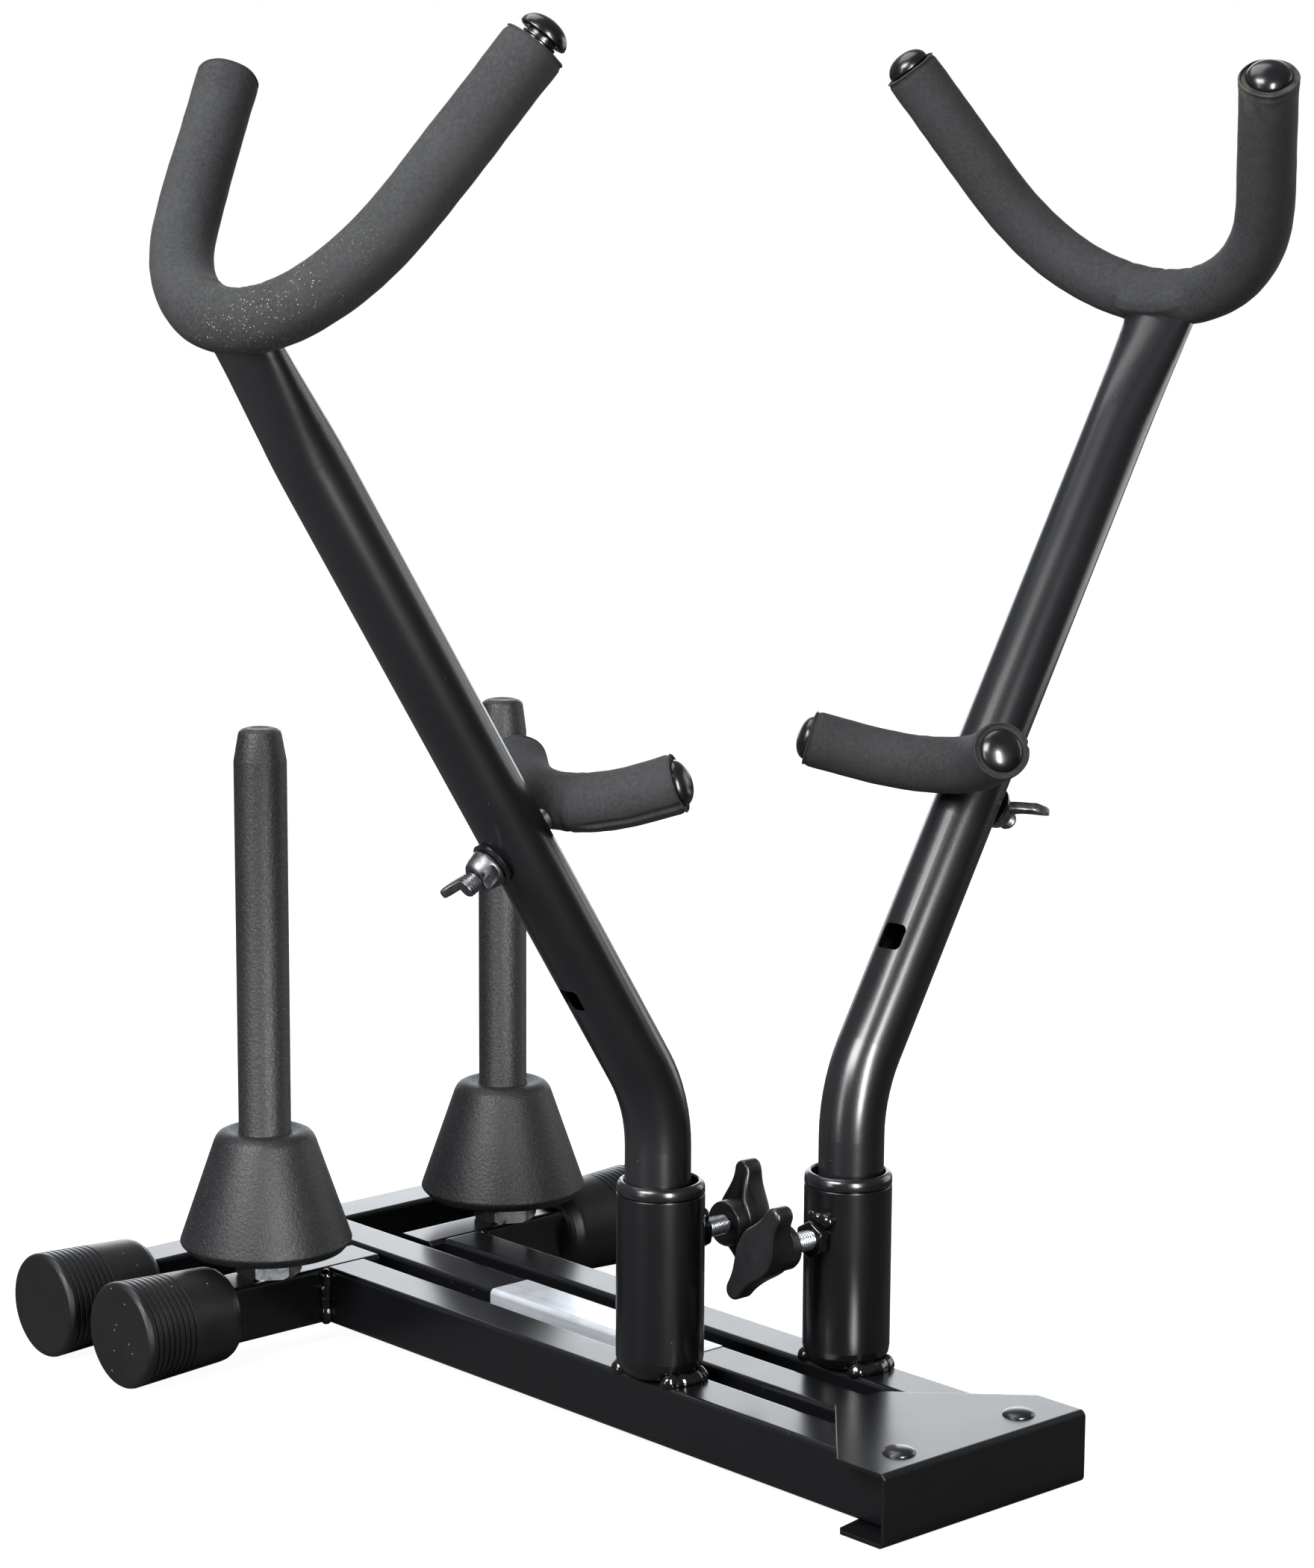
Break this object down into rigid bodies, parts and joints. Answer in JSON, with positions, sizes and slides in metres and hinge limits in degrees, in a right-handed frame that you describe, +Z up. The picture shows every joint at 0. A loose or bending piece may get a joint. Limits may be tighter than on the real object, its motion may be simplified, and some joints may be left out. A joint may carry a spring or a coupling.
{
  "type": "saxophone stand",
  "caption": "Low folding floor stand for wind instruments: leaning arms with padded forks and lower yokes, upright cone pegs on a hinged steel base.",
  "frame": {"origin": "floor level, under the middle of the stand's overall box", "axes": "+Z up, +Y from the pivot bracket towards the rear crossbar, +X across the stand from the left arm to the right arm"},
  "size_m": [0.4587, 0.4306, 0.5341],
  "materials": {
    "black_paint": "smooth satin black powder coat",
    "arm_paint": "semi-gloss black powder coat",
    "weld_paint": "gloss black paint over weld and nut",
    "rivet_paint": "semi-gloss black",
    "label_silver": "silver printed foil, no lettering",
    "foot_rubber": "smooth matte moulded rubber",
    "peg_plastic": "fine grained moulded plastic",
    "gloss_collar": "high gloss black",
    "foam": "matte closed-cell foam sleeve",
    "cap_plastic": "polished black domes",
    "knob_plastic": "satin moulded plastic",
    "zinc_steel": "bright zinc-plated steel",
    "dark_zinc": "dark zinc-plated steel"
  },
  "bodies": {
    "base": {"end_bracket": "black_paint", "centre_rail": "black_paint", "rear_crossbar": "black_paint", "base_welds": "weld_paint", "pivot_rivets": "rivet_paint", "rail_label": "label_silver", "rear_foot_left": "foot_rubber", "rear_foot_right": "foot_rubber"},
    "left_frame": {"left_rail": "black_paint", "left_leg": "black_paint", "left_foot": "foot_rubber", "left_socket": "black_paint", "left_weld_nut": "weld_paint", "left_welds": "weld_paint", "left_peg_nut": "zinc_steel"},
    "left_peg": {"left_peg": "peg_plastic"},
    "left_collar": {"left_collar": "gloss_collar"},
    "left_arm": {"left_arm_tube": "arm_paint", "left_fork_tube": "arm_paint", "left_fork_foam": "foam", "left_fork_caps": "cap_plastic", "left_yoke_tube": "arm_paint", "left_yoke_foam": "foam", "left_yoke_caps": "cap_plastic", "left_yoke_bolt": "zinc_steel", "left_yoke_washer": "dark_zinc"},
    "left_wing_nut": {"left_wing_nut": "dark_zinc"},
    "left_knob": {"left_clamp_knob": "knob_plastic", "left_knob_stud": "zinc_steel"},
    "right_frame": {"right_rail": "black_paint", "right_leg": "black_paint", "right_foot": "foot_rubber", "right_socket": "black_paint", "right_weld_nut": "weld_paint", "right_welds": "weld_paint", "right_peg_nut": "zinc_steel"},
    "right_peg": {"right_peg": "peg_plastic"},
    "right_collar": {"right_collar": "gloss_collar"},
    "right_arm": {"right_arm_tube": "arm_paint", "right_fork_tube": "arm_paint", "right_fork_foam": "foam", "right_fork_caps": "cap_plastic", "right_yoke_tube": "arm_paint", "right_yoke_foam": "foam", "right_yoke_caps": "cap_plastic", "right_yoke_bolt": "zinc_steel", "right_yoke_washer": "dark_zinc"},
    "right_wing_nut": {"right_wing_nut": "dark_zinc"},
    "right_knob": {"right_clamp_knob": "knob_plastic", "right_knob_stud": "zinc_steel"}
  },
  "joints": [
    {"name": "left_frame_swing", "type": "hinge", "parent": "base", "child": "left_frame", "pos_m": [-0.0318, -0.20103, 0.01413], "axis": [0, -0.0235, 0.9997], "range_deg": [0, 45]},
    {"name": "left_arm_swivel", "type": "hinge", "parent": "left_frame", "child": "left_collar", "pos_m": [-0.0318, -0.07484, 0.10132], "axis": [0, -0.0235, 0.9997], "range_deg": [-45, 45]},
    {"name": "left_arm_height", "type": "slide", "parent": "left_collar", "child": "left_arm", "axis": [0, -0.0235, 0.9997], "range_m": [0, 0.04]},
    {"name": "left_knob_turn", "type": "hinge", "parent": "left_frame", "child": "left_knob", "pos_m": [-0.0068, -0.0744, 0.08232], "axis": [1, 0, 0], "continuous": true},
    {"name": "left_peg_turn", "type": "hinge", "parent": "left_frame", "child": "left_peg", "pos_m": [-0.0645, 0.13345, 0.04459], "axis": [0, -0.0235, 0.9997], "continuous": true},
    {"name": "left_wing_nut_turn", "type": "hinge", "parent": "left_arm", "child": "left_wing_nut", "pos_m": [-0.11545, -0.0733, 0.23494], "axis": [-0.8476, 0.0598, -0.5272], "continuous": true},
    {"name": "right_frame_swing", "type": "hinge", "parent": "base", "child": "right_frame", "pos_m": [0.0318, -0.20103, 0.01413], "axis": [0, -0.0235, 0.9997], "range_deg": [-45, 0]},
    {"name": "right_arm_swivel", "type": "hinge", "parent": "right_frame", "child": "right_collar", "pos_m": [0.0318, -0.11233, 0.10043], "axis": [0, -0.0235, 0.9997], "range_deg": [-45, 45]},
    {"name": "right_arm_height", "type": "slide", "parent": "right_collar", "child": "right_arm", "axis": [0, -0.0235, 0.9997], "range_m": [0, 0.04]},
    {"name": "right_knob_turn", "type": "hinge", "parent": "right_frame", "child": "right_knob", "pos_m": [0.0068, -0.11188, 0.08144], "axis": [-1, 0, 0], "continuous": true},
    {"name": "right_peg_turn", "type": "hinge", "parent": "right_frame", "child": "right_peg", "pos_m": [0.0645, 0.13345, 0.04459], "axis": [0, -0.0235, 0.9997], "continuous": true},
    {"name": "right_wing_nut_turn", "type": "hinge", "parent": "right_arm", "child": "right_wing_nut", "pos_m": [0.1164, -0.11078, 0.23559], "axis": [0.8476, 0.0598, -0.5272], "continuous": true}
  ]
}
